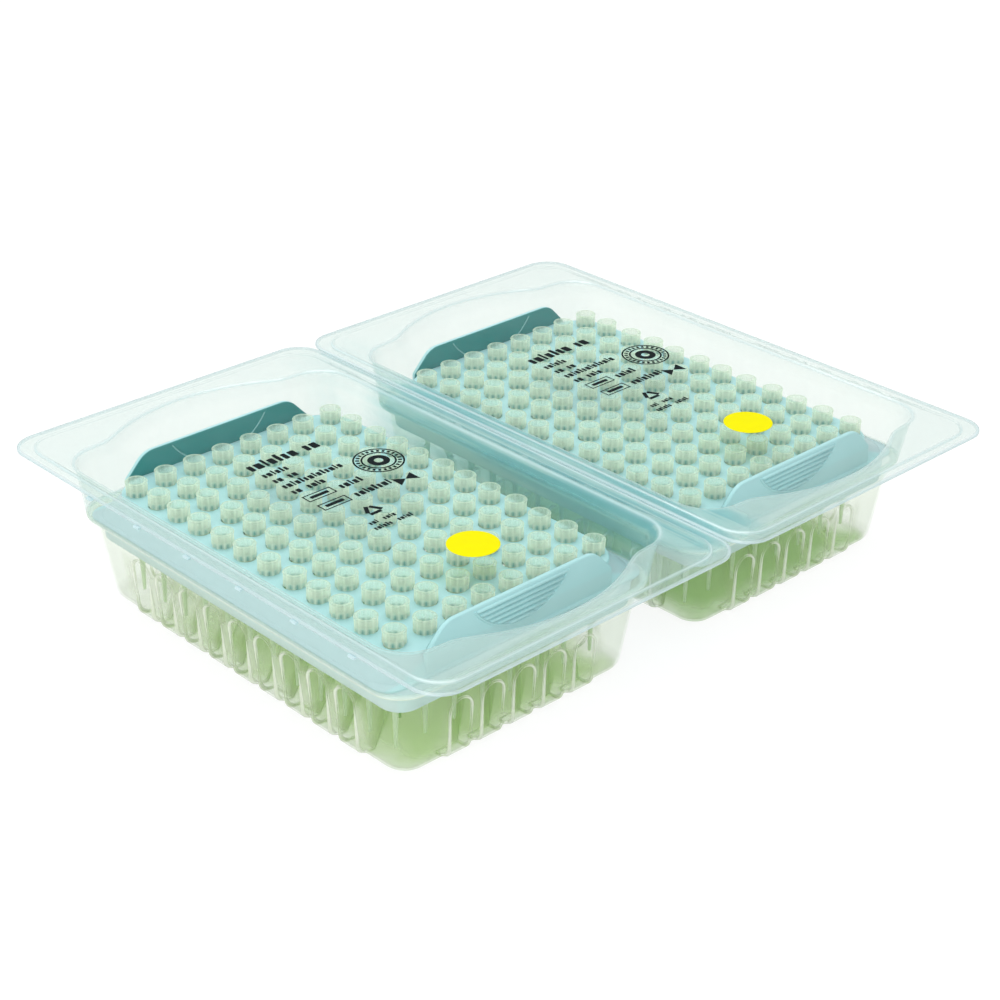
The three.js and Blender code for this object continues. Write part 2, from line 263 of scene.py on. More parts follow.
class Finish(Sheet):
    """A material, from its shaders to its output."""

    def __init__(self, name):
        self.material = bpy.data.materials.new(name)
        self.material.use_nodes = True
        super().__init__(self.material.node_tree)
        self.tree.nodes.clear()
        self.coordinates = out(self.node("ShaderNodeTexCoord"), "Object")

    def value(self, node, name=None):
        return Value(self, out(node, name))

    def place(self):
        """The point's X, Y and Z in millimetres."""
        parts = self.node("ShaderNodeSeparateXYZ", values={0: self.coordinates})
        return [self.value(parts, axis) * (1 / MM) for axis in "XYZ"]

    def noise(self, size, detail=3.0, stretch=(1, 1, 1), distortion=0.0):
        """Cloudy noise from 0 to 1, with clouds about `size` millimetres across."""
        mapping = self.node("ShaderNodeMapping", values={"Vector": self.coordinates, "Scale": stretch})
        values = {"Vector": out(mapping), "Scale": 1 / (size * MM), "Detail": detail}
        values["Distortion"] = distortion
        return self.value(self.node("ShaderNodeTexNoise", values=values))

    def attribute(self, name):
        return self.value(self.node("ShaderNodeAttribute", {"attribute_name": name}), "Fac")

    def facing(self):
        """0 where the surface is seen straight on, 1 where it is seen edge-on."""
        return self.value(self.node("ShaderNodeLayerWeight", values={"Blend": 0.5}), "Facing")

    def colour(self, factor, low, high):
        """A mix of two colours, each given by its numbers or by the output that has it."""
        low, high = (end if isinstance(end, bpy.types.NodeSocket) else (*end, 1) for end in (low, high))
        values = {"Factor": factor, "A": low, "B": high}
        return out(self.node("ShaderNodeMix", {"data_type": "RGBA"}, values))

    def bump(self, height, depth, strength=1.0):
        """A bump of `depth` millimetres where `height` is 1."""
        values = {"Height": height, "Distance": depth * MM, "Strength": strength}
        return out(self.node("ShaderNodeBump", values=values))

    def plastic(self, colour, roughness, normal=None, specular=0.5):
        values = {"Base Color": colour, "Roughness": roughness, "IOR": 1.5, "Specular IOR Level": specular}
        if normal is not None:
            values["Normal"] = normal
        return out(self.node("ShaderNodeBsdfPrincipled", values=values))

    def glowing(self, colour):
        """What lets light through in all directions, as milky plastic does."""
        return out(self.node("ShaderNodeBsdfTranslucent", values={"Color": (*colour, 1)}))

    def clear(self, colour):
        return out(self.node("ShaderNodeBsdfTransparent", values={"Color": (*colour, 1)}))

    def gloss(self, roughness, normal):
        values = {"Color": (1, 1, 1, 1), "Roughness": roughness, "Normal": normal}
        return out(self.node("ShaderNodeBsdfAnisotropic", values=values))

    def done(self, shader):
        self.node("ShaderNodeOutputMaterial", values={"Surface": shader})
        return self.material


# ---- Finishes ----


def mirror_share(finish, head_on, edge_on):
    """How much of the light a clear surface reflects, from straight on to edge-on."""
    return head_on + (edge_on - head_on) * finish.facing() ** 5


def tub_place(finish):
    """Distances from the middle of the nearest tub, across and along, and the height, in millimetres."""
    x, y, z = finish.place()
    return abs(abs(x) - CENTRE_X["right"]), abs(y), z


def clear_sheet():
    """Clear formed sheet, milky between its flutes and where it bends, where it is painted white as a
    highlight, with painted shade and the tips' green in the middle of each floor.

    `upper` is the wall above the ledge, `web` the strip between the tubs, painted with the trays' teal in
    streaks as painted shade and reflection, `deep_shade` the middle of a floor, painted as shade, `line` the
    sharpest bends, with the brightest painted highlight, and `haze` how milky the sheet is.
    """
    finish = Finish("clear_sheet")
    across, along, z = tub_place(finish)
    x, y, _ = finish.place()
    bend = finish.attribute("bend")
    land = finish.attribute("land")
    cloud = finish.noise(11, 4)
    streak = finish.noise(2.2, 2, stretch=(1, 1, 0.2))
    band = finish.noise(1.7, 3, stretch=(1, 0.03, 0.5))
    rim = z.step(RIM_TOP - 5, RIM_TOP - 1)
    upper = z.step(LEDGE_HEIGHT - 1, LEDGE_HEIGHT + 1.5)
    end = along.step(50, 64)
    floor = 1 - z.step(0.6, 1.4)
    # Painted shade: the middle of each floor, under the tray, is painted milky green with the tips' green in
    # it.
    inner = ((WELL_SIZE[0] / 2 - across) * 0.7).least(WELL_SIZE[1] / 2 + y)
    inner = inner.least((WELL_SIZE[1] / 2 - y) * 0.22)
    deep_shade = (inner + (cloud - 0.5) * 9).step(0, 12) * floor
    line = bend.step(0.2, 0.55)
    # Painted shade and painted reflection: the strip between the tubs is painted with the trays' teal.
    web = (1 - abs(x).step(8, 17)) * upper * (1 - along.step(68, 84))
    web = web * (1 - y.step(34, 52) * 0.85)
    haze = 0.035 + 0.035 * upper + 0.045 * rim + 0.05 * end * upper
    haze = haze + (cloud - 0.5) * 0.05 + (streak - 0.5) * 0.03 + finish.facing() ** 3 * (0.15 * upper)
    # Bends turn milky, the sharpest most, to carry the painted highlight.
    haze = haze + land * (0.16 + 0.2 * streak) + bend * 0.3 + line * (0.5 - 0.35 * upper)
    haze = haze + floor * 0.02 + deep_shade * 0.3
    # Streaks of darker teal across that strip, also painted shade.
    shade_stripe = band.step(0.44, 0.54)
    haze = (haze + web * (0.2 + 0.06 * rim)).clamped()
    tint = finish.colour(upper, (0.80, 0.94, 0.58), (0.72, 0.89, 0.92))
    # Painted shade and reflection between the tubs: the trays' teal, darker in the streaks.
    tint = finish.colour(web * (1 - rim * 0.4) * 0.9, tint, (0.50, 0.80, 0.74))
    tint = finish.colour(web * shade_stripe, tint, (0.22, 0.56, 0.62))
    # Painted highlight: bends are painted near white on the well, blue-grey on the upper wall and rim; the
    # lands between flutes take the same milky colour.
    crease_highlight = finish.colour(upper, (1.0, 1.0, 0.96), (0.74, 0.88, 0.92))
    tint = finish.colour((bend * 1.6 + land * 0.8).clamped(), tint, crease_highlight)
    # Painted shade: the middle of each floor takes its milky green.
    tint = finish.colour(deep_shade, tint, (0.74, 0.95, 0.45))
    ripple = finish.bump(finish.noise(5, 2), 0.05)
    body = finish.plastic(tint, 0.3, ripple, specular=0.2)
    glow = finish.mixed(upper, finish.glowing((0.82, 0.97, 0.58)), finish.glowing((0.66, 0.87, 0.89)))
    milky = finish.mixed(0.4, body, glow)
    # Painted shade: each floor lets through green, darker in the right tub as shade from the left tub beside
    # it.
    green = finish.mixed(x.step(-1, 1), finish.clear((0.80, 0.92, 0.67)), finish.clear((0.61, 0.79, 0.49)))
    clear = finish.mixed((deep_shade * 0.9).clamped(), finish.clear((0.966, 0.979, 0.962)), green)
    # The strip between the tubs also lets through teal, as painted shade and reflection.
    clear = finish.mixed((web * (0.45 + 0.45 * shade_stripe)).clamped(), clear, finish.clear((0.80, 0.94, 0.93)))
    shell = finish.mixed(haze, clear, milky)
    share = (mirror_share(finish, 0.012, 0.42) * (0.4 + 0.6 * upper) + line * 0.06).clamped()
    return finish.done(finish.mixed(share, shell, finish.gloss(0.08, ripple)))


def clear_film():
    """Clear film, drawn tight, with faint waves."""
    finish = Finish("clear_film")
    cloud = finish.noise(16, 4, distortion=0.6)
    haze = (0.006 + (cloud - 0.45) * 0.03 + finish.facing() ** 4 * 0.03).clamped()
    wave = finish.bump(finish.noise(22, 2, stretch=(1, 0.35, 1)), 0.12)
    body = finish.plastic((0.78, 0.90, 0.90, 1), 0.35, wave, specular=0.2)
    shell = finish.mixed(haze, finish.clear((0.99, 0.998, 0.992)), body)
    share = mirror_share(finish, 0.002, 0.25)
    return finish.done(finish.mixed(share, shell, finish.gloss(0.12, wave)))


def tray_blue():
    """Satin moulded polypropylene: blue-grey, a little uneven from its flow; its skirt painted greyer as
    shade, its spigot painted paler as light, and painted dark teal as shade where its shade mark is set.
    """
    finish = Finish("tray_blue")
    _, along, z = tub_place(finish)
    flow = finish.noise(14, 5, stretch=(1, 0.4, 1), distortion=0.8)
    grain = finish.noise(0.35, 2)
    shade = finish.attribute("shade")
    tint = finish.colour(flow, (0.38, 0.66, 0.69), (0.44, 0.72, 0.75))
    # Painted shade: the skirt under the plate, except on the grips, is painted a greyer blue.
    grip = (along - PLATE_SIZE[1] / 2).step(-0.4, 0.6)
    skirt = (1 - z.step(PLATE_TOP - 1.1, PLATE_TOP - 0.1)) * (1 - grip * 0.75)
    tint = finish.colour(skirt, tint, (0.44, 0.59, 0.62))
    # Painted light: the spigot below the flange is painted paler.
    spigot = 1 - (z - FLANGE_BOTTOM).step(-0.5, 0.5)
    tint = finish.colour(spigot * 0.6, tint, (0.72, 0.84, 0.88))
    tint = finish.colour(shade.clamped(), tint, (0.0, 0.20, 0.20))
    roughness = 0.38 + (flow - 0.5) * 0.16
    normal = finish.bump(grain, 0.02, 0.35)
    return finish.done(finish.plastic(tint, roughness, normal, specular=0.3))


def natural_tip():
    """Natural polypropylene, see-through and green, pale where it is seen edge-on. Its tapers under the
    plate are painted a darker green as shade, and paler at the rack's sides as painted light.

    `collar` is the part above the plate, `slot_shade` the notches at its foot, painted dark as shade,
    `ridge_highlight` its ribs, painted paler as a highlight, and `outside` the tips nearest the tub's walls.
    """
    finish = Finish("natural_tip")
    across, along, z = tub_place(finish)
    cloud = finish.noise(3, 2)
    edge = finish.facing() ** 2
    rib = finish.attribute("rib")
    bore = finish.attribute("shade")
    above = z - COLLAR_FOOT
    collar = above.step(-5.9, -0.4)
    foot = above.step(-0.5, -0.1) * (1 - above.step(0.9, 2)) * (1 - edge)
    outside = (across - RACK_HALF[0]).most(along - RACK_HALF[1]).step(-4.5, -1.5)
    # Painted shade: the tapers under the plate are painted a darker green; painted light makes them paler at
    # the rack's sides.
    deep_shade = finish.colour(outside, (0.50, 0.72, 0.34), (0.92, 0.98, 0.88))
    tint = finish.colour(collar, deep_shade, (0.93, 1.0, 0.87))
    # Painted shade: the bore is painted a bluer, darker green.
    tint = finish.colour((bore * 0.4).clamped(), tint, (0.70, 0.92, 0.84))
    # Painted shade: the notches at the collar's foot are painted dark teal, less on the ribs.
    slot_shade = (foot * (1 - rib * 0.6)).clamped()
    tint = finish.colour(slot_shade, tint, (0.02, 0.24, 0.23))
    outline = (edge * 0.9 + (cloud - 0.5) * 0.2 - bore * 0.5).clamped()
    tint = finish.colour(outline, tint, (0.94, 1.0, 0.76))
    # Painted highlight: the collar's ribs are painted paler.
    ridge_highlight = rib.step(0.55, 0.95) * collar
    tint = finish.colour(ridge_highlight * 0.4, tint, (0.98, 1.0, 0.92))
    solidity = (0.3 + 0.08 * ridge_highlight - bore * 0.12 + slot_shade * 0.6 + edge * 0.7 + (1 - collar) * 0.3).clamped()
    body = finish.plastic(tint, 0.2)
    # The translucent light is green under the plate and pale on collars and outer tips, following the
    # painted shade.
    green, pale = finish.glowing((0.52, 0.74, 0.36)), finish.glowing((0.93, 1.0, 0.87))
    glow = finish.mixed(collar.most(outside), green, pale)
    milky = finish.mixed((0.75 - slot_shade * 0.7 - bore * 0.2).clamped(), body, glow)
    return finish.done(finish.mixed(solidity, finish.clear((0.99, 1.0, 0.978)), milky))


def film_ink():
    """Black ink, a little worn."""
    finish = Finish("film_ink")
    wear = finish.noise(0.6, 3)
    tint = finish.colour(wear, (0.003, 0.006, 0.007), (0.016, 0.022, 0.025))
    return finish.done(finish.plastic(tint, 0.7 + wear * 0.2, specular=0.05))


def dot_yellow():
    """The marker dot's matt yellow paint."""
    finish = Finish("dot_yellow")
    cloud = finish.noise(2.5, 3)
    tint = finish.colour(cloud, (0.78, 0.72, 0.0), (0.84, 0.79, 0.0))
    normal = finish.bump(finish.noise(0.3, 2), 0.01)
    return finish.done(finish.plastic(tint, 0.6 + cloud * 0.2, normal, specular=0.05))


def seen_directly(sheet):
    """1 where the camera, a reflection or clear plastic looks, 0 for light that falls on the object."""
    path = sheet.node("ShaderNodeLightPath")
    names = ("Is Camera Ray", "Is Glossy Ray", "Is Transmission Ray")
    camera, glossy, through = (Value(sheet, out(path, name)) for name in names)
    return (camera + glossy + through).clamped()


def pale_floor():
    """White to look at, a plain pale floor to the light, so that only the object's shadow shows."""
    finish = Finish("pale_floor")
    ground = out(finish.node("ShaderNodeBsdfDiffuse", values={"Color": (0.8, 0.8, 0.8, 1)}))
    glow = out(finish.node("ShaderNodeEmission", values={"Color": (1, 1, 1, 1), "Strength": 0.86}))
    faint = out(finish.node("ShaderNodeBsdfDiffuse", values={"Color": (0.2, 0.2, 0.2, 1)}))
    white = out(finish.node("ShaderNodeAddShader", values={0: glow, 1: faint}))
    return finish.done(finish.mixed(seen_directly(finish), ground, white))


MAKERS = (clear_sheet, clear_film, tray_blue, natural_tip, film_ink, dot_yellow)
FINISH = {make.__name__: make() for make in MAKERS}


# ---- Mesh making ----


class Shell:
    """Points in millimetres and faces between them, gathered into one mesh."""

    def __init__(self):
        self.points = []
        self.faces = []
        self.marks = []

    def add(self, points, faces, mark=0.0):
        """Adds points and faces, with one mark for all the points, a mark each, or a row of marks each."""
        start = len(self.points)
        self.points.extend(tuple(map(float, p)) for p in points)
        self.faces.extend(tuple(start + i for i in face) for face in faces)
        marks = np.array(mark, float)
        if marks.ndim < 2:
            marks = np.broadcast_to(marks, len(points))[:, None]
        self.marks.extend(marks.tolist())

    def loft(self, rings, marks=None, low_cap=True, high_cap=True):
        """A skin through rings of equal point count. Rings run anticlockwise and climb."""
        count = len(rings[0])
        faces = [
            (low + i, low + (i + 1) % count, low + count + (i + 1) % count, low + count + i)
            for low in range(0, count * (len(rings) - 1), count)
            for i in range(count)
        ]
        last = count * (len(rings) - 1)
        if low_cap:
            faces.append(tuple(range(count))[::-1])
        if high_cap:
            faces.append(tuple(range(last, last + count)))
        self.add(np.vstack(rings), faces, 0.0 if marks is None else np.concatenate(marks))

    def slab(self, outline, low, high, mark=0.0):
        """A flat plate of an outline in X and Y."""
        flat = np.array(outline)
        self.loft([at_height(flat, low), at_height(flat, high)], [np.full(len(flat), mark)] * 2)

    def piece(self, name, finish, mark_names=(), smooth=True):
        """The gathered mesh as a piece of the scene, with its marks as named attributes."""
        mesh = bpy.data.meshes.new(name)
        mesh.from_pydata([tuple(c * MM for c in p) for p in self.points], [], self.faces)
        mesh.materials.append(FINISH[finish])
        for column, mark_name in enumerate(mark_names):
            values = [mark[column] for mark in self.marks]
            mesh.attributes.new(mark_name, "FLOAT", "POINT").data.foreach_set("value", values)
        mesh.shade_smooth() if smooth else mesh.shade_flat()
        return in_scene(name, mesh)


def work_in(piece):
    """Works a piece's modifiers into its mesh."""
    graph = bpy.context.evaluated_depsgraph_get()
    mesh = bpy.data.meshes.new_from_object(piece.evaluated_get(graph))
    piece.modifiers.clear()
    piece.data = mesh


def to_side(side):
    """The move from the middle of the pack to one tub."""
    return Matrix.Translation(Vector((CENTRE_X[side], 0, 0)) * MM)


def hand_over(piece, finish, *nodes):
    """Puts a finished piece on the pack's body, in place of nodes of the frame."""
    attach(piece, "root")
    if nodes:
        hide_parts(*nodes)


CORNER_STEPS = 8
SHARP = math.radians(50)


class Stations:
    """Stations round a rounded rectangle: fixed places along its sides, even steps round its corners.

    `shortness` is 0 on the long sides and 1 on the short ones.
    """

    def __init__(self, along_x, along_y):
        self.along_x = np.array(along_x, float)
        self.along_y = np.array(along_y, float)
        turn = np.linspace(0, 1, CORNER_STEPS + 1)
        none_x, none_y = np.zeros(len(along_x)), np.zeros(len(along_y))
        self.shortness = np.concatenate([none_y, turn, none_x + 1, 1 - turn] * 2)

    def ring(self, size, radius, along_x=None, along_y=None, bulge=None):
        """The stations' X and Y on an outline, with `bulge` the reach past each short side at an X."""
        along_x = self.along_x if along_x is None else along_x
        along_y = self.along_y if along_y is None else along_y
        half_x, half_y = np.array(size) / 2
        turn = np.linspace(0, math.pi / 2, CORNER_STEPS + 1)

        def corner(sign_x, sign_y, start):
            return np.column_stack([
                sign_x * (half_x - radius) + radius * np.cos(start + turn),
                sign_y * (half_y - radius) + radius * np.sin(start + turn),
            ])

        def end(xs, sign):
            reach = np.zeros(len(xs)) if bulge is None else bulge(xs)
            return np.column_stack([xs, sign * (half_y + reach)])

        return np.vstack([
            np.column_stack([np.full(len(along_y), half_x), along_y]),
            corner(1, 1, 0),
            end(along_x[::-1], 1),
            corner(-1, 1, math.pi / 2),
            np.column_stack([np.full(len(along_y), -half_x), along_y[::-1]]),
            corner(-1, -1, math.pi),
            end(along_x, -1),
            corner(1, -1, 1.5 * math.pi),
        ])


def rectangle(x0, x1, y0, y1):
    """A rectangle's corners, anticlockwise."""
    return np.array([(x0, y0), (x1, y0), (x1, y1), (x0, y1)], float)


def circle(x, y, radius, sides=48):
    """A circle's outline, anticlockwise."""
    angles = np.arange(sides) * 2 * math.pi / sides
    return np.column_stack([x + radius * np.cos(angles), y + radius * np.sin(angles)])


def at_height(ring, z):
    """An outline lifted to one height, or to a height for each of its points."""
    return np.column_stack([ring, np.broadcast_to(z, len(ring))])


# ---- Tubs ----

# Columns of one flute's cell, from its middle outwards: where they stand on an even row, their distance
# from the arch's edge, and how close to the middle they may come at the arch's top.
FLUTE_EDGE = 0.45
FLUTE_COLUMNS = (
    (0.95, None, 0.14),
    (1.9, -FLUTE_EDGE, 0.3),
    (2.6, -0.16, 0.44),
    (3.3, 0.16, 0.58),
    (4.0, FLUTE_EDGE, 0.72),
)


def flute_cell(rise, evenness):
    """Places across one cell on a row that stands `rise` above the springing of its arch."""
    reaches = []
    for even, edge, least in FLUTE_COLUMNS:
        radius = FLUTE_RADIUS + (edge if edge is not None else -FLUTE_EDGE)
        reach = math.sqrt(max(radius ** 2 - max(rise, 0) ** 2, 0))
        if edge is None:
            reach *= 0.5
        reach = max(reach, least)
        reaches.append(reach + (even - reach) * evenness)
    reaches = np.array(reaches)
    return np.concatenate([[-FLUTE_PITCH / 2], -reaches[::-1], [0], reaches])


def flute_row(flutes, rise, evenness):
    """Places along a whole side: its cells, the last land, and plain stations in its margin."""
    cell = flute_cell(rise, evenness)
    count = flutes["count"]
    centres = (np.arange(count) - (count - 1) / 2) * FLUTE_PITCH
    last = centres[-1] + FLUTE_PITCH / 2
    extra = last + np.array(flutes["margin"])
    return np.concatenate([-extra[::-1], *(c + cell for c in centres), [last], extra])


def flute_mask(places, count, rise):
    """1 on a flute's face, 0 on the land between flutes, and smooth between them."""
    half = (count - 1) / 2
    nearest = np.clip(np.round(places / FLUTE_PITCH - (half % 1)) + (half % 1), -half, half) * FLUTE_PITCH
    depth = FLUTE_RADIUS - np.hypot(places - nearest, max(rise, 0))
    share = np.clip((depth + FLUTE_EDGE) / (2 * FLUTE_EDGE), 0, 1)
    return share * share * (3 - 2 * share)


# Rises above the springing of an arch: the rows that follow its bend, and one clear above it.
ARCH_RISES = (1.0, 1.8, 2.4, 2.8, 3.15, 3.5, 3.9)
ARCH_TOP = ARCH_RISES[-1]
ABOVE_ARCH = 8


def well_size(z):
    """The well's width and length between its lands, at a height."""
    return WELL_SIZE - 2 * WELL_DRAFT * (1 - z / LEDGE_HEIGHT)


def sag(radius, half):
    """How far an arc falls away at `half` from its crown."""
    return radius - np.sqrt(np.maximum(radius ** 2 - half ** 2, 0))


POCKET_REACH = 8.9
POCKET_CROWN = 50
POCKET_BLEND = 14


def pocket_bulge(share):
    """How far a finger pocket reaches past the straight end, as a share of its widest."""
    arcs = POCKET_CROWN + POCKET_BLEND
    blend_x = math.sqrt(arcs ** 2 - (arcs - POCKET_REACH) ** 2)
    meet_x = blend_x * POCKET_CROWN / arcs

    def bulge(xs):
        across = np.abs(xs)
        crown = POCKET_REACH - sag(POCKET_CROWN, np.minimum(across, meet_x))
        blend = sag(POCKET_BLEND, np.maximum(blend_x - across, 0))
        return share * np.where(across <= meet_x, crown, blend)

    return bulge


def around(sides):
    """Values along the long and the short side, carried all the way round, with none on the corners."""
    corner = np.zeros(CORNER_STEPS + 1)
    long, short = sides
    return np.concatenate([long, corner, short[::-1], corner, long[::-1], corner, short, corner])


def well_rows(stations):
    """The fluted wall from the floor up to just under the ledge: its rings, and their bends and lands."""
    rings, marks = [], []
    flutes = (LONG_FLUTES, SHORT_FLUTES)
    springs = [f["top"] - FLUTE_RADIUS for f in flutes]
    faces = [(well_size(f["top"])[axis] / 2 - f["let_in"]) for axis, f in enumerate(flutes)]
    shortness = stations.shortness

    def add(land_z, flute_z, land_in, flute_in, radius, rises, evenness, crease_highlight, milky=0.0):
        """One ring. Its heights and rises are for the long and the short sides."""
        along_y = flute_row(LONG_FLUTES, rises[0], evenness)
        along_x = flute_row(SHORT_FLUTES, rises[1], evenness)
        size = np.array([well_size(z)[axis] for axis, z in enumerate(land_z)]) - 2 * land_in
        land = stations.ring(size, radius, along_x, along_y)
        face = stations.ring(2 * (np.array(faces) - flute_in), radius, along_x, along_y)
        sides = ((along_y, LONG_FLUTES["count"], rises[0]), (along_x, SHORT_FLUTES["count"], rises[1]))
        mask = around([flute_mask(*side) for side in sides])
        fluted = around([np.abs(places) < count * FLUTE_PITCH / 2 + 0.01 for places, count, _ in sides])
        xy = land + (face - land) * mask[:, None]
        z_land = land_z[0] + (land_z[1] - land_z[0]) * shortness
        z_flute = flute_z[0] + (flute_z[1] - flute_z[0]) * shortness
        rings.append(at_height(xy, z_land + (z_flute - z_land) * mask))
        milk = milky * (fluted - mask) * (1 - 0.6 * shortness)
        # The bend mark, highest at a flute's edge and on the floor's fillet, sets where the sheet is painted
        # as a highlight.
        marks.append(np.column_stack([4 * mask * (1 - mask) * 0.75 + crease_highlight, milk]))

    floor_in = FLOOR_FILLET + 1
    well_top = LEDGE_HEIGHT - SHEET - 0.5
    add((0, 0), (0, 0), floor_in, FLUTE_FOOT[0] + 1, WELL_RADIUS - floor_in, (-1, -1), 0, 0)
    for angle in np.radians(np.linspace(0, 90, 6)):
        rest = 1 - math.sin(angle)
        low = 1 - math.cos(angle)
        add(
            (FLOOR_FILLET * low,) * 2,
            (FLUTE_FOOT[1] * low,) * 2,
            FLOOR_FILLET * rest,
            FLUTE_FOOT[0] * rest,
            WELL_RADIUS - FLOOR_FILLET * rest,
            (-1, -1),
            0,
            0.25 * math.sin(2 * angle),
        )
    for share in (0.3, 0.65, 1):
        land_z = [FLOOR_FILLET + (spring - FLOOR_FILLET) * share for spring in springs]
        flute_z = [FLUTE_FOOT[1] + (spring - FLUTE_FOOT[1]) * share for spring in springs]
        add(land_z, flute_z, 0, 0, WELL_RADIUS, (0, 0), 0, 0, 1)
    for rise in ARCH_RISES:
        z = [spring + rise for spring in springs]
        add(z, z, 0, 0, WELL_RADIUS, (rise, rise), 0, 0, 1 - 0.7 * rise / FLUTE_RADIUS)
    for share, evenness in ((0.25, 0.4), (0.65, 0.85), (1, 1)):
        z = [spring + ARCH_TOP + (well_top - spring - ARCH_TOP) * share for spring in springs]
        add(z, z, 0, 0, WELL_RADIUS, (ABOVE_ARCH, ABOVE_ARCH), evenness, 0)
    return rings, marks


def rim_rows(stations):
    """The ledge, the wall above it, the rounded mouth, the sealing land and the border, with no lands."""
    rings, marks = [], []
    bottom = LEDGE_HEIGHT - SHEET
    land = RIM_TOP - SHEET
    border = land - SEAL_STEP
    bead = 0.9
    lip = 1.0

    # A ring's mark is its bend mark, which sets where the sheet is painted as a highlight, most at the bead.
    def add(size, grow, radius, z, mark, share=0.0):
        bulge = pocket_bulge(share) if share else None
        rings.append(at_height(stations.ring(np.array(size) + 2 * grow, radius + grow, bulge=bulge), z))
        marks.append(np.tile((mark, 0.0), (len(rings[-1]), 1)))

    add(WELL_SIZE, 0.15, WELL_RADIUS, bottom - 0.15, 0.1)
    add(WELL_SIZE, 0.5, WELL_RADIUS, bottom, 0.4)
    for angle in np.radians((0, 30, 60, 90)):
        add(
            LEDGE_SIZE,
            bead * (math.sin(angle) - 1),
            LEDGE_RADIUS,
            bottom + bead * (1 - math.cos(angle)),
            1.3 if 0 < angle < 1.5 else 0.8,
        )
    start = bottom + bead
    for share in (0.08, 0.35, 0.7, 1):
        size = LEDGE_SIZE + (MOUTH_SIZE - LEDGE_SIZE) * share
        radius = LEDGE_RADIUS + (MOUTH_RADIUS - LEDGE_RADIUS) * share
        add(size, 0, radius, start + (land - lip - start) * share, 0, share)
    for angle, mark in ((30, 0.15), (60, 0.6), (90, 0.15)):
        angle = math.radians(angle)
        height = land - lip * (1 - math.sin(angle))
        add(MOUTH_SIZE, lip * (1 - math.cos(angle)), MOUTH_RADIUS, height, mark, 1)
    add(MOUTH_SIZE, lip + 0.8, MOUTH_RADIUS, land, 0, 1)
    add(SEAL_SIZE, -0.7, RIM_RADIUS, land, 0)
    for grow, drop, mark in ((-0.3, 0.03, 0.3), (0, 0.2, 0.75), (0.3, 0.37, 0.3)):
        add(SEAL_SIZE, grow, RIM_RADIUS, land - drop, mark)
    add(SEAL_SIZE, 0.8, RIM_RADIUS, border, 0)
    for grow, mark in ((-1.1, 0.05), (-0.5, 0.6), (0, 0.9)):
        add(RIM_SIZE, grow, RIM_RADIUS, border, mark)
    return rings, marks


SCORE_PITCH = 2.4
SCORE_SHARE = 0.72
SCORE_END = 9
NIB_PITCH = 20
NIB_START = -56
NIB_REACH = 0.7
NIBS = 6
# How far a scored web and a nib show as a bend, and so take the sheet's painted highlight: both more than
# any real bend of the sheet.
WEB_BEND = 1.0
NIB_BEND = 2.0


def make_tubs():
    """Both tubs as one formed sheet, given its wall inwards."""
    even_x, even_y = (flute_row(flutes, ABOVE_ARCH, 1) for flutes in (SHORT_FLUTES, LONG_FLUTES))
    stations = Stations(even_x, even_y)
    rings, marks = (well + rim for well, rim in zip(well_rows(stations), rim_rows(stations)))
    shell = Shell()
    for side in SIDES:
        shell.loft([ring + (CENTRE_X[side], 0, 0) for ring in rings], marks, high_cap=False)
    tubs = shell.piece("twin_tub_formed", "clear_sheet", ("bend", "land"))
    wall = tubs.modifiers.new("wall", "SOLIDIFY")
    wall.thickness = SHEET * MM
    wall.offset = -1
    work_in(tubs)
    hand_over(tubs, "clear_sheet", "twin_tub")


def make_webs():
    """The scored web between the tubs, and the nibs left on the outer edge of the left rim."""
    shell = Shell()
    high = RIM_TOP - SHEET - SEAL_STEP
    gap = CENTRE_X["right"] - RIM_SIZE[0] / 2 - 0.05
    reach = RIM_SIZE[1] / 2 - SCORE_END
    for y in np.arange(-reach, reach, SCORE_PITCH):
        shell.slab(rectangle(-gap, gap, y, y + SCORE_PITCH * SCORE_SHARE), high - SHEET, high, WEB_BEND)
    edge = -CENTRE_X["right"] - RIM_SIZE[0] / 2
    for y in NIB_START + NIB_PITCH * np.arange(NIBS):
        shell.slab(rectangle(edge - NIB_REACH, edge + 0.2, y - 1, y + 1), high - SHEET, high, NIB_BEND)
    webs = shell.piece("score_webs", "clear_sheet", ("bend",), smooth=False)
    hand_over(webs, "clear_sheet")


make_tubs()
make_webs()


# ---- Trays ----


def start_tree(name, given, **sizes):
    """The sheet and the entry of a Geometry Nodes tree that works on a grid, with its inputs named."""
    tree = bpy.data.node_groups.new(name, "GeometryNodeTree")
    grid = {"Pitch": "Float", "Columns": "Int", "Rows": "Int", "Centre": "Vector"}
    for socket, kind in {given: "Geometry", **grid, **sizes}.items():
        tree.interface.new_socket(socket, in_out="INPUT", socket_type=f"NodeSocket{kind}")
    tree.interface.new_socket("Result", in_out="OUTPUT", socket_type="NodeSocketGeometry")
    sheet = Sheet(tree)
    return sheet, sheet.node("NodeGroupInput")


def perforate(piece, side, low, high):
    """Cuts a rack's grid of round holes through a piece, with a Geometry Nodes tree."""
    sheet, entry = start_tree("tip_holes", "Plate", Radius="Float", Depth="Float")
    drill = sheet.node(
        "GeometryNodeMeshCylinder",
        values={"Vertices": 24, "Radius": out(entry, "Radius"), "Depth": out(entry, "Depth")},
    )
    drills = sheet.node(
        "GeometryNodeInstanceOnPoints",
        values={"Points": grid_points(sheet, entry), "Instance": out(drill, "Mesh")},
    )
    drills = sheet.node("GeometryNodeRealizeInstances", values={0: out(drills)})
    cut = sheet.node(
        "GeometryNodeMeshBoolean", {"operation": "DIFFERENCE"}, {0: out(entry, "Plate"), 1: out(drills)}
    )
    end_tree(sheet, out(cut), FINISH["tray_blue"])
    sizes = {"Radius": HOLE_RADIUS * MM, "Depth": (high - low) * MM}
    run_tree(piece, sheet.tree, side, (low + high) / 2, sizes)


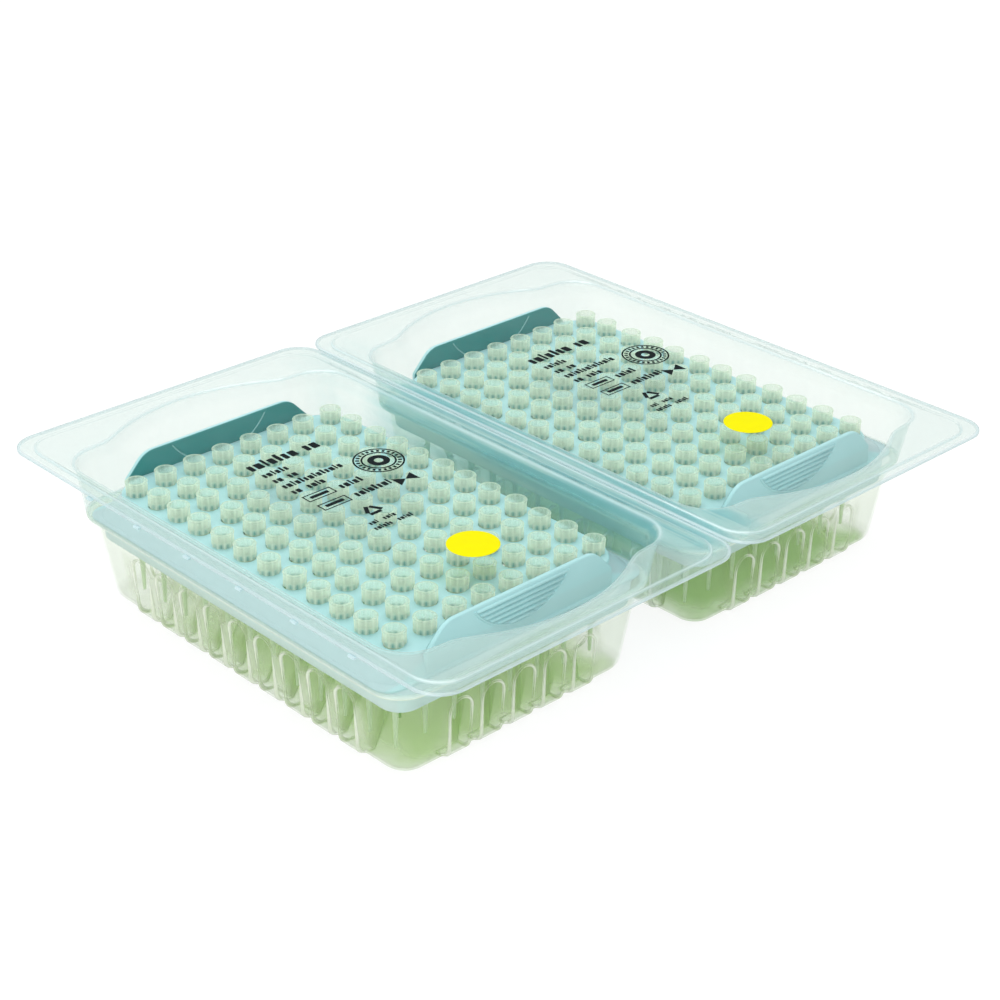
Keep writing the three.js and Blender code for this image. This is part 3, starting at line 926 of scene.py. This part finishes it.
def grid_points(sheet, entry):
    """The points of a grid of columns and rows, moved to its centre."""

    def span(count):
        return (Value(sheet, out(entry, count)) - 1) * Value(sheet, out(entry, "Pitch"))

    sizes = {"Size X": span("Columns"), "Size Y": span("Rows")}
    counts = {"Vertices X": out(entry, "Columns"), "Vertices Y": out(entry, "Rows")}
    grid = sheet.node("GeometryNodeMeshGrid", values={**sizes, **counts})
    moved = sheet.node(
        "GeometryNodeTransform", values={"Geometry": out(grid, "Mesh"), "Translation": out(entry, "Centre")}
    )
    return out(sheet.node("GeometryNodeMeshToPoints", values={"Mesh": out(moved)}))


def end_tree(sheet, geometry, material):
    """Makes a tree's result real and gives it its material."""
    whole = sheet.node("GeometryNodeRealizeInstances", values={0: geometry})
    dressed = sheet.node("GeometryNodeSetMaterial", values={"Geometry": out(whole), "Material": material})
    sheet.node("NodeGroupOutput", values={0: out(dressed)})


def run_tree(piece, tree, side, height, sizes=()):
    """Runs a tree over the grid of one side's rack, and keeps its result as the piece's mesh."""
    modifier = piece.modifiers.new(tree.name, "NODES")
    modifier.node_group = tree
    inputs = {s.name: s.identifier for s in tree.interface.items_tree if s.in_out == "INPUT"}
    centre = Vector((CENTRE_X[side], 0, height)) * MM
    grid = {"Pitch": PITCH * MM, "Columns": COLUMNS, "Rows": ROWS, "Centre": centre}
    for name, value in {**grid, **dict(sizes)}.items():
        modifier[inputs[name]] = value
    work_in(piece)


def inset_outline(points, inset):
    """A convex anticlockwise outline drawn in by `inset`."""
    points = np.array(points, float)
    before, after = np.roll(points, 1, 0), np.roll(points, -1, 0)

    def inward(start, end):
        way = end - start
        way = way / np.linalg.norm(way, axis=1)[:, None]
        return np.column_stack([-way[:, 1], way[:, 0]])

    first, second = inward(before, points), inward(points, after)
    share = 1 + np.sum(first * second, axis=1)
    return points + (first + second) * (inset / share)[:, None]


def grip_outline():
    """The face of a grip, seen from outside the far end: X and height."""
    foot_half = PLATE_SIZE[0] / 2 - GRIP_INSET
    top_half = foot_half - GRIP_LEAN
    slant = np.array([GRIP_LEAN, GRIP_TOP - PLATE_TOP])
    slant = slant / np.linalg.norm(slant) * GRIP_CORNER
    start = np.array([top_half + slant[0], GRIP_TOP - slant[1]])
    crown = np.array([top_half, GRIP_TOP])
    end = np.array([top_half - GRIP_CORNER, GRIP_TOP])
    shares = np.linspace(0, 1, 7)
    turn = [(1 - t) ** 2 * start + 2 * t * (1 - t) * crown + t * t * end for t in shares]
    right = [np.array([foot_half, FLANGE_TOP - 0.5]), np.array([foot_half, PLATE_TOP]), *turn]
    left = [p * (-1, 1) for p in right[::-1]]
    return np.array(right + left)


def add_grip(shell, sign):
    """A standing plate with rounded edges, the border of its patch, and ribs with dark gaps between.

    Its inner face, the border on it, the gaps and the ribs' lower halves are marked for painted shade.
    """
    face = PLATE_SIZE[1] / 2 + GRIP_THICKNESS
    outline = grip_outline()
    rings, marks = [], []
    for depth, inset in ((0, 0.35), (0.1, 0.1), (0.35, 0), (0.95, 0), (1.2, 0.1), (GRIP_THICKNESS, 0.35)):
        flat = inset_outline(outline, inset)
        y = face - GRIP_THICKNESS + depth
        rings.append(np.column_stack([flat[:, 0] * -sign, np.full(len(flat), sign * y), flat[:, 1]]))
        # Painted shade: the grip's inner face is marked fully for the tray's dark shade colour.
        marks.append(np.full(len(flat), 1.0 if depth < 0.2 else 0.0))
    shell.loft(rings, marks)
    radius = (PATCH_WIDTH ** 2 / 4 + PATCH_DEPTH ** 2) / (2 * PATCH_DEPTH)
    patch_top = GRIP_TOP - PATCH_DROP
    bend = np.radians(np.linspace(0, 360, 8, endpoint=False))
    for y, thick, shade in ((face, 0.32, 0), (face - GRIP_THICKNESS, 0.2, 0.5)):
        border = []
        for turn in np.linspace(-1, 1, 25) * math.asin(PATCH_WIDTH / 2 / radius):
            inward = np.array([-math.sin(turn), 0, math.cos(turn)])
            middle = np.array([0, y, patch_top + radius - PATCH_DEPTH]) - radius * inward
            ring = middle + thick * (np.cos(bend)[:, None] * (0, 1, 0) + np.sin(bend)[:, None] * inward)
            border.append(ring * (sign, sign, 1))
        shell.loft(border, [np.full(len(bend), shade)] * len(border))
    pitch = PATCH_DEPTH / GRIP_RIBS
    bars = ((0, RIB_HEIGHT, 0.55, 0.2), (RIB_HEIGHT, pitch - RIB_HEIGHT, 0.06, 1.2))
    for i in range(GRIP_RIBS):
        for below, height, proud, dark in bars:
            drop = pitch * i + below
            half = math.sqrt(max(radius ** 2 - (radius - PATCH_DEPTH + drop + height) ** 2, 0.6))
            middle = np.array([face - 0.1, patch_top - drop - height / 2])
            arc = np.radians(np.linspace(-90, 90, 9))
            section = np.column_stack([(proud + 0.1) * np.cos(arc), height / 2 * np.sin(arc)])
            rib = []
            for x, grow in ((-half, 0.3), (-half + 0.4, 1), (half - 0.4, 1), (half, 0.3)):
                y, z = (middle + section * grow).T
                rib.append(np.column_stack([np.full(len(y), x * sign), sign * y, z]))
            shade = dark * RIB_SHADE[sign] * (1 - np.sin(arc)) / 2
            shell.loft(rib, [shade] * len(rib))


def tray_rings(stations):
    """The tray's rings, from its plate's underside down the inside and up the outside to the plate's top."""
    fit = SHEET + TRAY_ROOM
    flare = np.array([FLARE_REACH, GRIP_THICKNESS])
    flare_size = PLATE_SIZE + 2 * flare
    flange_size = flare_size + 2 * FLANGE_REACH
    middle_size = PLATE_SIZE + flare + np.array([1.3, 0])
    plate_bottom = PLATE_TOP - PLATE_THICKNESS
    rings = []

    def add(size, radius, z, grow=0.0):
        rings.append(at_height(stations.ring(np.array(size) + 2 * grow, radius + grow), z))

    def add_spigot(level, lift, grow=0.0):
        size = (well_size(min(level, LEDGE_HEIGHT))[0] - 2 * fit, flange_size[1])
        add(size, WELL_RADIUS - fit, level + lift, grow)

    add(PLATE_SIZE, PLATE_RADIUS, plate_bottom, -0.5)
    add(middle_size, (PLATE_RADIUS + FLARE_RADIUS) / 2, (FLANGE_TOP + plate_bottom) / 2, -TRAY_WALL)
    add_spigot(FLANGE_TOP, 0, -TRAY_WALL)
    for lift, grow in ((0.3, -TRAY_WALL), (0, -0.75), (0, -0.25), (0.3, 0)):
        add_spigot(SPIGOT_BOTTOM, lift, grow)
    add_spigot(FLANGE_BOTTOM, -0.1)
    low, high = FLANGE_BOTTOM, FLANGE_TOP
    for z, grow in ((low, -0.3), (low + 0.25, 0), (high - 0.25, 0), (high, -0.3)):
        add(flange_size, FLANGE_RADIUS, z, grow)
    add(flare_size, FLARE_RADIUS, FLANGE_TOP, 0.15)
    add(flare_size, FLARE_RADIUS, FLANGE_TOP + 0.2)
    for share in (0.2, 0.4, 0.6, 0.8, 0.92):
        size = PLATE_SIZE + 2 * flare * ((1 - share) ** FLARE_SAG, 1 - share)
        radius = PLATE_RADIUS + (FLARE_RADIUS - PLATE_RADIUS) * (1 - share)
        add(size, radius, FLANGE_TOP + 0.2 + (PLATE_TOP - FLANGE_TOP - 0.5) * share)
    for drop, grow in ((0.3, 0.1), (0.08, -0.05), (0, -0.4)):
        add(PLATE_SIZE, PLATE_RADIUS, PLATE_TOP - drop, grow)
    return rings


def make_trays():
    """Each tray as one piece: its perforated plate with skirt, flange and spigot, and its two grips."""
    stations = Stations(np.linspace(-24, 24, 9), np.linspace(-44, 44, 13))
    rings = tray_rings(stations)
    for side in SIDES:
        plate = Shell()
        plate.loft([ring + (CENTRE_X[side], 0, 0) for ring in rings])
        tray = plate.piece(f"tray_{side}", "tray_blue", ("shade",))
        perforate(tray, side, PLATE_TOP - 3, PLATE_TOP + 1)
        grips = Shell()
        for sign in (-1, 1):
            add_grip(grips, sign)
        ends = grips.piece(f"grips_{side}", "tray_blue", ("shade",))
        ends.data.transform(to_side(side))
        merged = bmesh.new()
        merged.from_mesh(tray.data)
        merged.from_mesh(ends.data)
        merged.to_mesh(tray.data)
        merged.free()
        bpy.data.objects.remove(ends)
        tray.data.shade_smooth()
        tray.data.set_sharp_from_angle(angle=SHARP)
        hand_over(tray, "tray_blue", f"tip_tray_{side}")


make_trays()


# ---- Tips ----

TIP_SIDES = 20


def tip_shell():
    """One hollow tip on the Z axis: taper, neck, notched collar, rounded lip and bore."""
    point, collar, top = TIP_BOTTOM, COLLAR_FOOT, TIP_TOP
    # Each row's radius, height, notch depth, and how far it lies in the bore.
    rows = (
        (0.4, point, 0, 0),
        (0.95, collar - 13, 0, 0),
        (1.9, collar - 9, 0, 0),
        (2.2, collar, 0, 0),
        (2.85, collar, 0.3, 0),
        (2.85, collar + 1.2, 0.3, 0),
        (2.8, collar + 1.35, 0.02, 0),
        (2.8, top - 0.6, 0.02, 0),
        (2.9, top - 0.2, 0, 0),
        (2.78, top, 0, 0),
        (2.25, top, 0, 0),
        (2.1, top - 0.25, 0, 0.6),
        (1.75, collar - 4, 0, 1),
        (0.6, collar - 13, 0, 1),
        (0.2, point, 0, 0),
    )
    parity = np.arange(TIP_SIDES) % 2
    rings, marks = [], []
    for radius, z, depth, shade in rows:
        rings.append(at_height(circle(0, 0, radius - depth * parity, TIP_SIDES), z))
        marks.append(np.column_stack([np.full(TIP_SIDES, float(shade)), 1.0 - parity]))
    shell = Shell()
    shell.loft(rings + rings[:1], marks + marks[:1], low_cap=False, high_cap=False)
    return shell


def fill_rack(piece, side):
    """Repeats one tip over the rack's grid, each a little askew, with a Geometry Nodes tree."""
    sheet, entry = start_tree("tip_rack", "Tip")
    turn = sheet.node(
        "FunctionNodeRandomValue",
        {"data_type": "FLOAT_VECTOR"},
        {"Min": (-0.012, -0.012, 0), "Max": (0.012, 0.012, 2 * math.pi), "Seed": 4},
    )
    tips = sheet.node(
        "GeometryNodeInstanceOnPoints",
        values={"Points": grid_points(sheet, entry), "Instance": out(entry, "Tip"), "Rotation": out(turn)},
    )
    end_tree(sheet, out(tips), FINISH["natural_tip"])
    run_tree(piece, sheet.tree, side, 0)


def make_tips():
    """Each rack's tips as one piece, in place of the frame's separate front row."""
    for side in SIDES:
        tips = tip_shell().piece(f"tips_{side}", "natural_tip", ("shade", "rib"))
        fill_rack(tips, side)
        tips.data.set_sharp_from_angle(angle=SHARP)
        hand_over(tips, "natural_tip", *(f"tip_{side}_{i + 1}" for i in range(COLUMNS)))


make_tips()


# ---- Films and their print ----


def bar(x0, x1, y, height, radius):
    """A bar's outline, with its corners rounded."""
    turn = np.radians(np.linspace(0, 90, 4))
    middle = np.array([(x0 + x1) / 2, y])
    reach = np.array([(x1 - x0) / 2, height / 2]) - radius
    corners = []
    for quarter, sign in enumerate(((1, 1), (-1, 1), (-1, -1), (1, -1))):
        angle = turn + quarter * math.pi / 2
        corners.append(middle + reach * sign + radius * np.column_stack([np.cos(angle), np.sin(angle)]))
    return np.vstack(corners)


def blocks(x0, x1, height):
    """A word's stand-in from x0 to x1: solid blocks, each with its start, end and height."""
    gap = height * 0.16
    x = x0
    for width, rise in itertools.cycle(((0.34, 0.72), (0.5, 0.72), (0.2, 1), (0.44, 0.72), (0.28, 1))):
        end = x + height * width
        if end > x1:
            return
        yield x, end, height * rise
        x = end + gap


def add_band(shell, outer, inner, low, high):
    """A flat band between two outlines of equal point count."""
    count = len(outer)
    rings = [(outer, low), (outer, high), (inner, high), (inner, low)]
    points = np.vstack([at_height(flat, z) for flat, z in rings])
    faces = []
    for k in range(4):
        near, far = k * count, (k + 1) % 4 * count
        for i in range(count):
            after = (i + 1) % count
            faces.append((near + i, near + after, far + after, far + i))
    shell.add(points, faces)


INK = 0.04
DOT = (2.7, -38.5)
SEAL = (14.9, 9.9)
WEDGES = (13.2, -2.4)
LOOP = (-3.6, -9.6)
LOOP_RADIUS = 2.9
FRAMES_Y = (5.4, -0.5)

# Each line of blocks: its place along the film, its height, and where its words start and end.
LINES = (
    (28.2, 4.2, ((-12.5, 3.6), (5.2, 10.8))),
    (22.5, 2.6, ((-12.2, -3.8),)),
    (18.5, 2.6, ((-12, -9), (-7.4, -4.8))),
    (14.6, 2.6, ((-12.1, 6.8),)),
    (10.8, 2.6, ((-12.2, -8.9), (-7.4, -1.8))),
    (FRAMES_Y[0], 2.8, ((-1.6, 6.2),)),
    (FRAMES_Y[1], 2.8, ((-1.6, 9.6),)),
    (-14.4, 1.8, ((-8.8, -5.4), (-4.4, -0.6))),
    (-17.2, 1.8, ((-9.5, -3.2), (-2.2, 2.4))),
)


def print_shell():
    """Plain marks in place of a print: lines of blocks, frames, a round seal, two wedges and a loop."""
    low, high = FILM_TOP, FILM_TOP + INK
    shell = Shell()
    for y, height, spans in LINES:
        for x0, x1 in spans:
            for start, end, rise in blocks(x0, x1, height):
                shell.slab(bar(start, end, y + (rise - height) / 2, rise, height / 12), low, high)
    for y in FRAMES_Y:
        frame_out = rectangle(-12.2, -3.6, y - 1.7, y + 1.7)
        frame_in = rectangle(-11.85, -3.95, y - 1.35, y + 1.35)
        add_band(shell, frame_out, frame_in, low, high)
        shell.slab(bar(-10.7, -5.1, y, 1.2, 0.3), low, high)
    for outer, inner in ((6.7, 6.2), (4.6, 4.1), (2.9, 1.2)):
        add_band(shell, circle(*SEAL, outer), circle(*SEAL, inner), low, high)
    for turn in np.radians(np.arange(0, 360, 15) + 7.5):
        spoke = rectangle(4.9, 5.9, -0.35, 0.35)
        way = np.array([[math.cos(turn), math.sin(turn)], [-math.sin(turn), math.cos(turn)]])
        shell.slab(spoke @ way + SEAL, low, high)
    for sign in (1, -1):
        wedge = np.array([(0, 0), (3.0, -2.1), (3.0, 2.1)]) * sign
        shell.slab(wedge + WEDGES, low, high)
    corners = np.array([(math.cos(a), math.sin(a)) for a in np.radians((90, 210, 330))])
    for start, end in zip(corners, np.roll(corners, -1, 0)):
        way = end - start
        side = np.array([way[1], -way[0]]) * 0.11
        near, far = start + way * 0.12, start + way * 0.8
        bent = np.array([near - side, near + side, far + side, far - side])
        shell.slab(bent * LOOP_RADIUS + LOOP, low, high)
    return shell


def make_films():
    """The frame's films in their own finish, each with its print and its dot."""
    for side in SIDES:
        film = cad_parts[f"cover_film_{side}"]
        film.data.materials.clear()
        film.data.materials.append(FINISH["clear_film"])
        ink = print_shell().piece(f"film_print_{side}", "film_ink", smooth=False)
        ink.data.transform(to_side(side))
        hand_over(ink, "film_ink")
        sticker = Shell()
        sticker.loft([
            at_height(circle(*DOT, radius), FILM_TOP + z)
            for radius, z in ((6.4, 0), (6.45, 0.05), (6.4, 0.1), (6.2, 0.12))
        ])
        dot = sticker.piece(f"marker_dot_{side}", "dot_yellow")
        dot.data.transform(to_side(side))
        hand_over(dot, "dot_yellow")


make_films()


# ---- Floor and light ----

LAMP_AIM = (0, 0, 0.02)


def lay_floor():
    """A plain sheet just under the pack, in metres."""
    half, drop = 1.6, -0.0002
    mesh = bpy.data.meshes.new("floor")
    corners = [(x, y, drop) for x, y in rectangle(-half, half, -half, half)]
    mesh.from_pydata(corners, [], [(0, 1, 2, 3)])
    mesh.materials.append(pale_floor())
    floor = in_scene("floor", mesh)


def hang_lamp(name, place, size, power):
    """A soft round lamp that points at the pack. Its place and size are in metres, its power in watts."""
    lamp = bpy.data.lights.new(name, "AREA")
    lamp.shape = "DISK"
    lamp.size = size
    lamp.energy = power
    made = in_scene(name, lamp)
    made.location = place
    made.rotation_euler = (Vector(LAMP_AIM) - Vector(place)).to_track_quat("-Z", "Y").to_euler()


def light_studio():
    """Two lamps, an even grey-white surround, and a white backdrop for what is seen directly."""
    hang_lamp("overhead", (0.05, 0.2, 0.9), 0.7, 2.8)
    hang_lamp("side_fill", (-0.75, -0.35, 0.4), 0.6, 2.6)
    world = bpy.data.worlds.new("studio")
    world.use_nodes = True
    bpy.context.scene.world = world
    sheet = Sheet(world.node_tree)
    world.node_tree.nodes.clear()
    ambient = sheet.node("ShaderNodeBackground", values={"Color": (1, 1, 1, 1), "Strength": 0.82})
    backdrop = sheet.node("ShaderNodeBackground", values={"Color": (1, 1, 1, 1), "Strength": 1.0})
    surround = sheet.mixed(seen_directly(sheet), out(ambient), out(backdrop))
    sheet.node("ShaderNodeOutputWorld", values={"Surface": surround})


lay_floor()
light_studio()
bpy.context.scene.view_settings.view_transform = "Standard"
# A line of sight crosses film, tub, tray and several hollow tips, with a face at each of their surfaces.
bpy.context.scene.cycles.transparent_max_bounces = 32
